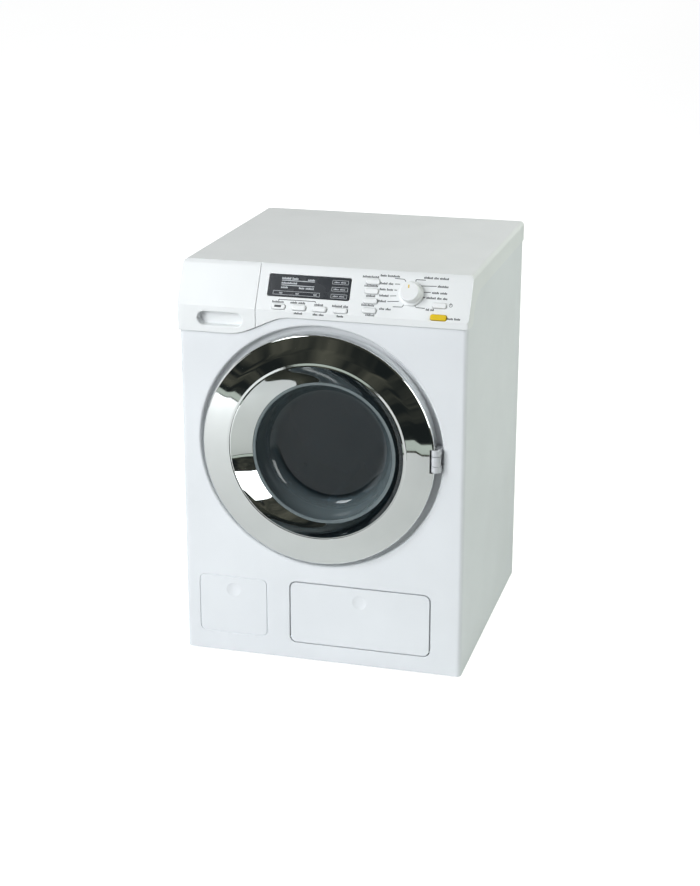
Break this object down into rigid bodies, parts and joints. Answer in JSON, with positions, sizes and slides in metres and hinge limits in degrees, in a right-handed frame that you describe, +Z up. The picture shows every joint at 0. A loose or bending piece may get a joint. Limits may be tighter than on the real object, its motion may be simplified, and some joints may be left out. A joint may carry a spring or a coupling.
{
  "type": "toy washing machine",
  "caption": "Toy front-loading washing machine with hinged chrome door, turning drum, sliding detergent drawer, drop-down flap, programme dial and push buttons.",
  "frame": {"origin": "centre of the footprint, on the floor", "axes": "+Z up, -Y out of the front with the door, +X to the right seen from the front"},
  "size_m": [0.185, 0.1934, 0.26],
  "materials": {
    "white_plastic": "satin moulded",
    "grey_plastic": "satin moulded",
    "dark_plastic": "matt moulded",
    "chrome_plating": "polished",
    "smoked_glass": "clear smoked plastic",
    "display_glass": "glossy printed window",
    "yellow_plastic": "satin moulded",
    "drum_plastic": "silver grey moulded",
    "steel": "zinc plated",
    "brass": "turned",
    "board": "green laminate",
    "rubber": "matt",
    "cell_sleeve": "printed sleeve"
  },
  "bodies": {
    "cabinet": {"cabinet_shell": "white_plastic", "top_cover": "white_plastic", "back_panel": "grey_plastic", "base_plate": "grey_plastic", "front_left_foot": "rubber", "front_right_foot": "rubber", "rear_left_foot": "rubber", "rear_right_foot": "rubber", "hinge_block": "grey_plastic", "hinge_pin": "steel", "door_catch": "dark_plastic", "door_seal": "rubber", "tub": "grey_plastic", "drum_bearing": "brass", "gearbox_housing": "grey_plastic", "drive_motor": "steel", "drawer_housing": "grey_plastic", "dispenser_bay": "grey_plastic", "speaker": "dark_plastic", "back_screw_left_low": "steel", "back_screw_left_high": "steel", "back_screw_right_low": "steel", "back_screw_right_high": "steel", "battery_box": "dark_plastic", "battery_cover": "grey_plastic", "battery_cover_screw": "steel", "battery_1": "cell_sleeve", "battery_2": "cell_sleeve", "battery_3": "cell_sleeve", "battery_4": "cell_sleeve", "lower_contact_strip": "steel", "upper_contact_strip": "steel", "display_window": "display_glass", "circuit_board": "board", "dial_switch": "dark_plastic"},
    "door": {"door_frame": "chrome_plating", "door_back_ring": "grey_plastic", "door_glass": "smoked_glass", "door_hinge_arm": "grey_plastic", "door_hook": "grey_plastic"},
    "drum_unit": {"drum": "drum_plastic", "drum_shaft": "steel", "drum_gear": "white_plastic"},
    "pinion": {"motor_pinion": "brass"},
    "drawer": {"drawer_front": "white_plastic", "drawer_tray": "grey_plastic"},
    "flap": {"service_flap": "white_plastic"},
    "dial": {"dial_knob": "white_plastic", "dial_shaft": "steel"},
    "start_key": {"start_button": "white_plastic"},
    "row_key_1": {"row_button_1": "white_plastic"},
    "row_key_2": {"row_button_2": "white_plastic"},
    "row_key_3": {"row_button_3": "white_plastic"},
    "side_key_1": {"side_button_1": "white_plastic"},
    "side_key_2": {"side_button_2": "white_plastic"},
    "side_key_3": {"side_button_3": "white_plastic"},
    "side_key_4": {"side_button_4": "white_plastic"},
    "power_key": {"power_button": "white_plastic"},
    "door_key": {"door_button": "yellow_plastic"}
  },
  "joints": [
    {"name": "door_hinge", "type": "hinge", "parent": "cabinet", "child": "door", "pos_m": [0.07435, -0.0906, 0.14645], "axis": [0, 0, 1], "range_deg": [0, 110]},
    {"name": "drum_spin", "type": "hinge", "parent": "cabinet", "child": "drum_unit", "pos_m": [-0.0008, 0, 0.1463], "axis": [0, -1, 0], "continuous": true},
    {"name": "pinion_spin", "type": "hinge", "parent": "cabinet", "child": "pinion", "pos_m": [-0.0008, 0.0326, 0.1103], "axis": [0, -1, 0], "continuous": true},
    {"name": "drawer_slide", "type": "slide", "parent": "cabinet", "child": "drawer", "axis": [0, -1, 0], "range_m": [0, 0.045]},
    {"name": "flap_hinge", "type": "hinge", "parent": "cabinet", "child": "flap", "pos_m": [0.0251, -0.0862, 0.016], "axis": [1, 0, 0], "range_deg": [0, 85]},
    {"name": "dial_turn", "type": "hinge", "parent": "cabinet", "child": "dial", "pos_m": [0.0554, -0.08156, 0.24794], "axis": [0, -0.8768, 0.4808], "continuous": true},
    {"name": "start_press", "type": "slide", "parent": "cabinet", "child": "start_key", "axis": [0, 0.8768, -0.4808], "range_m": [0, 0.0011], "stiffness_N_per_m": 400, "springref_m": -0.001},
    {"name": "row_press_1", "type": "slide", "parent": "cabinet", "child": "row_key_1", "axis": [0, 0.8768, -0.4808], "range_m": [0, 0.0011], "stiffness_N_per_m": 400, "springref_m": -0.001},
    {"name": "row_press_2", "type": "slide", "parent": "cabinet", "child": "row_key_2", "axis": [0, 0.8768, -0.4808], "range_m": [0, 0.0011], "stiffness_N_per_m": 400, "springref_m": -0.001},
    {"name": "row_press_3", "type": "slide", "parent": "cabinet", "child": "row_key_3", "axis": [0, 0.8768, -0.4808], "range_m": [0, 0.0011], "stiffness_N_per_m": 400, "springref_m": -0.001},
    {"name": "side_press_1", "type": "slide", "parent": "cabinet", "child": "side_key_1", "axis": [0, 0.8768, -0.4808], "range_m": [0, 0.0011], "stiffness_N_per_m": 400, "springref_m": -0.001},
    {"name": "side_press_2", "type": "slide", "parent": "cabinet", "child": "side_key_2", "axis": [0, 0.8768, -0.4808], "range_m": [0, 0.0011], "stiffness_N_per_m": 400, "springref_m": -0.001},
    {"name": "side_press_3", "type": "slide", "parent": "cabinet", "child": "side_key_3", "axis": [0, 0.8768, -0.4808], "range_m": [0, 0.0011], "stiffness_N_per_m": 400, "springref_m": -0.001},
    {"name": "side_press_4", "type": "slide", "parent": "cabinet", "child": "side_key_4", "axis": [0, 0.8768, -0.4808], "range_m": [0, 0.0011], "stiffness_N_per_m": 400, "springref_m": -0.001},
    {"name": "power_press", "type": "slide", "parent": "cabinet", "child": "power_key", "axis": [0, 0.8768, -0.4808], "range_m": [0, 0.0011], "stiffness_N_per_m": 400, "springref_m": -0.001},
    {"name": "door_key_press", "type": "slide", "parent": "cabinet", "child": "door_key", "axis": [0, 0.8768, -0.4808], "range_m": [0, 0.0011], "stiffness_N_per_m": 400, "springref_m": -0.001}
  ],
  "couplings": [
    {"joint": "pinion_spin", "follows": "drum_spin", "ratio": -2.75}
  ]
}
